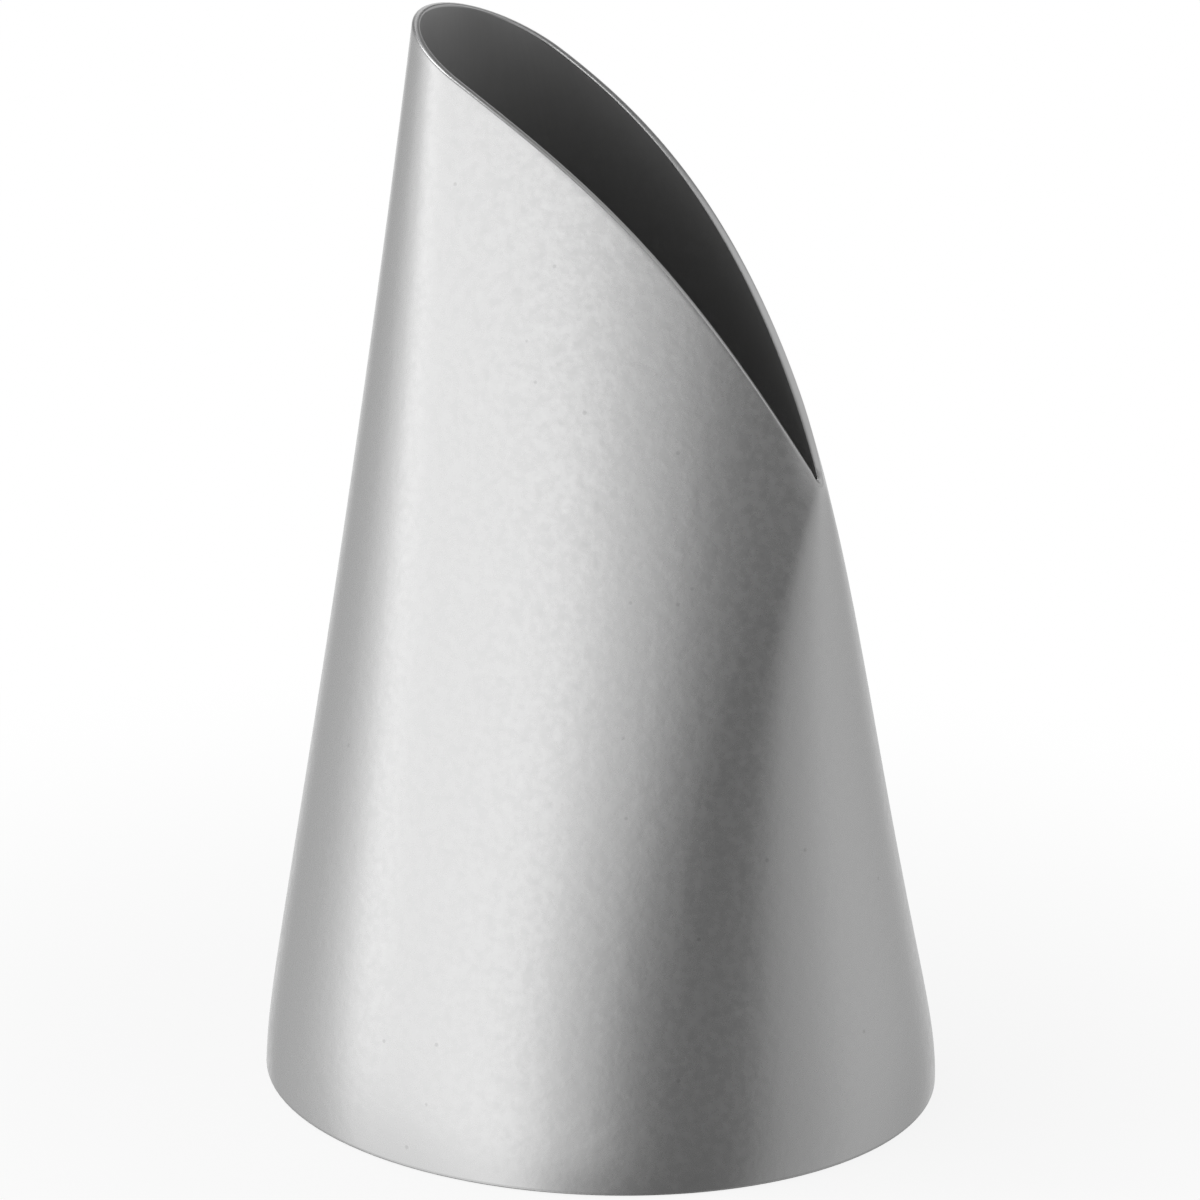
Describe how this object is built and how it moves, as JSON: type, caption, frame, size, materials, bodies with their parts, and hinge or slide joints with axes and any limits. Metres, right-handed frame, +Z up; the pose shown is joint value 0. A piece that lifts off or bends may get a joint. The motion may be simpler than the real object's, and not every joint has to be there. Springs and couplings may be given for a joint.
{
  "type": "piping nozzle",
  "caption": "Tapered sheet-steel piping nozzle with a round base and a slanting, drop-shaped mouth for petals.",
  "frame": {"origin": "centre of the round base, on the plane of its rim", "axes": "+Z up the cone's axis to the mouth, +X towards the folded toe at the mouth's low end, symmetric about the plane Y = 0"},
  "size_m": [0.033, 0.033, 0.0517],
  "materials": {
    "stainless_sheet": "satin, fine blasted grain"
  },
  "bodies": {
    "root": {"nozzle_shell": "stainless_sheet"}
  },
  "joints": []
}
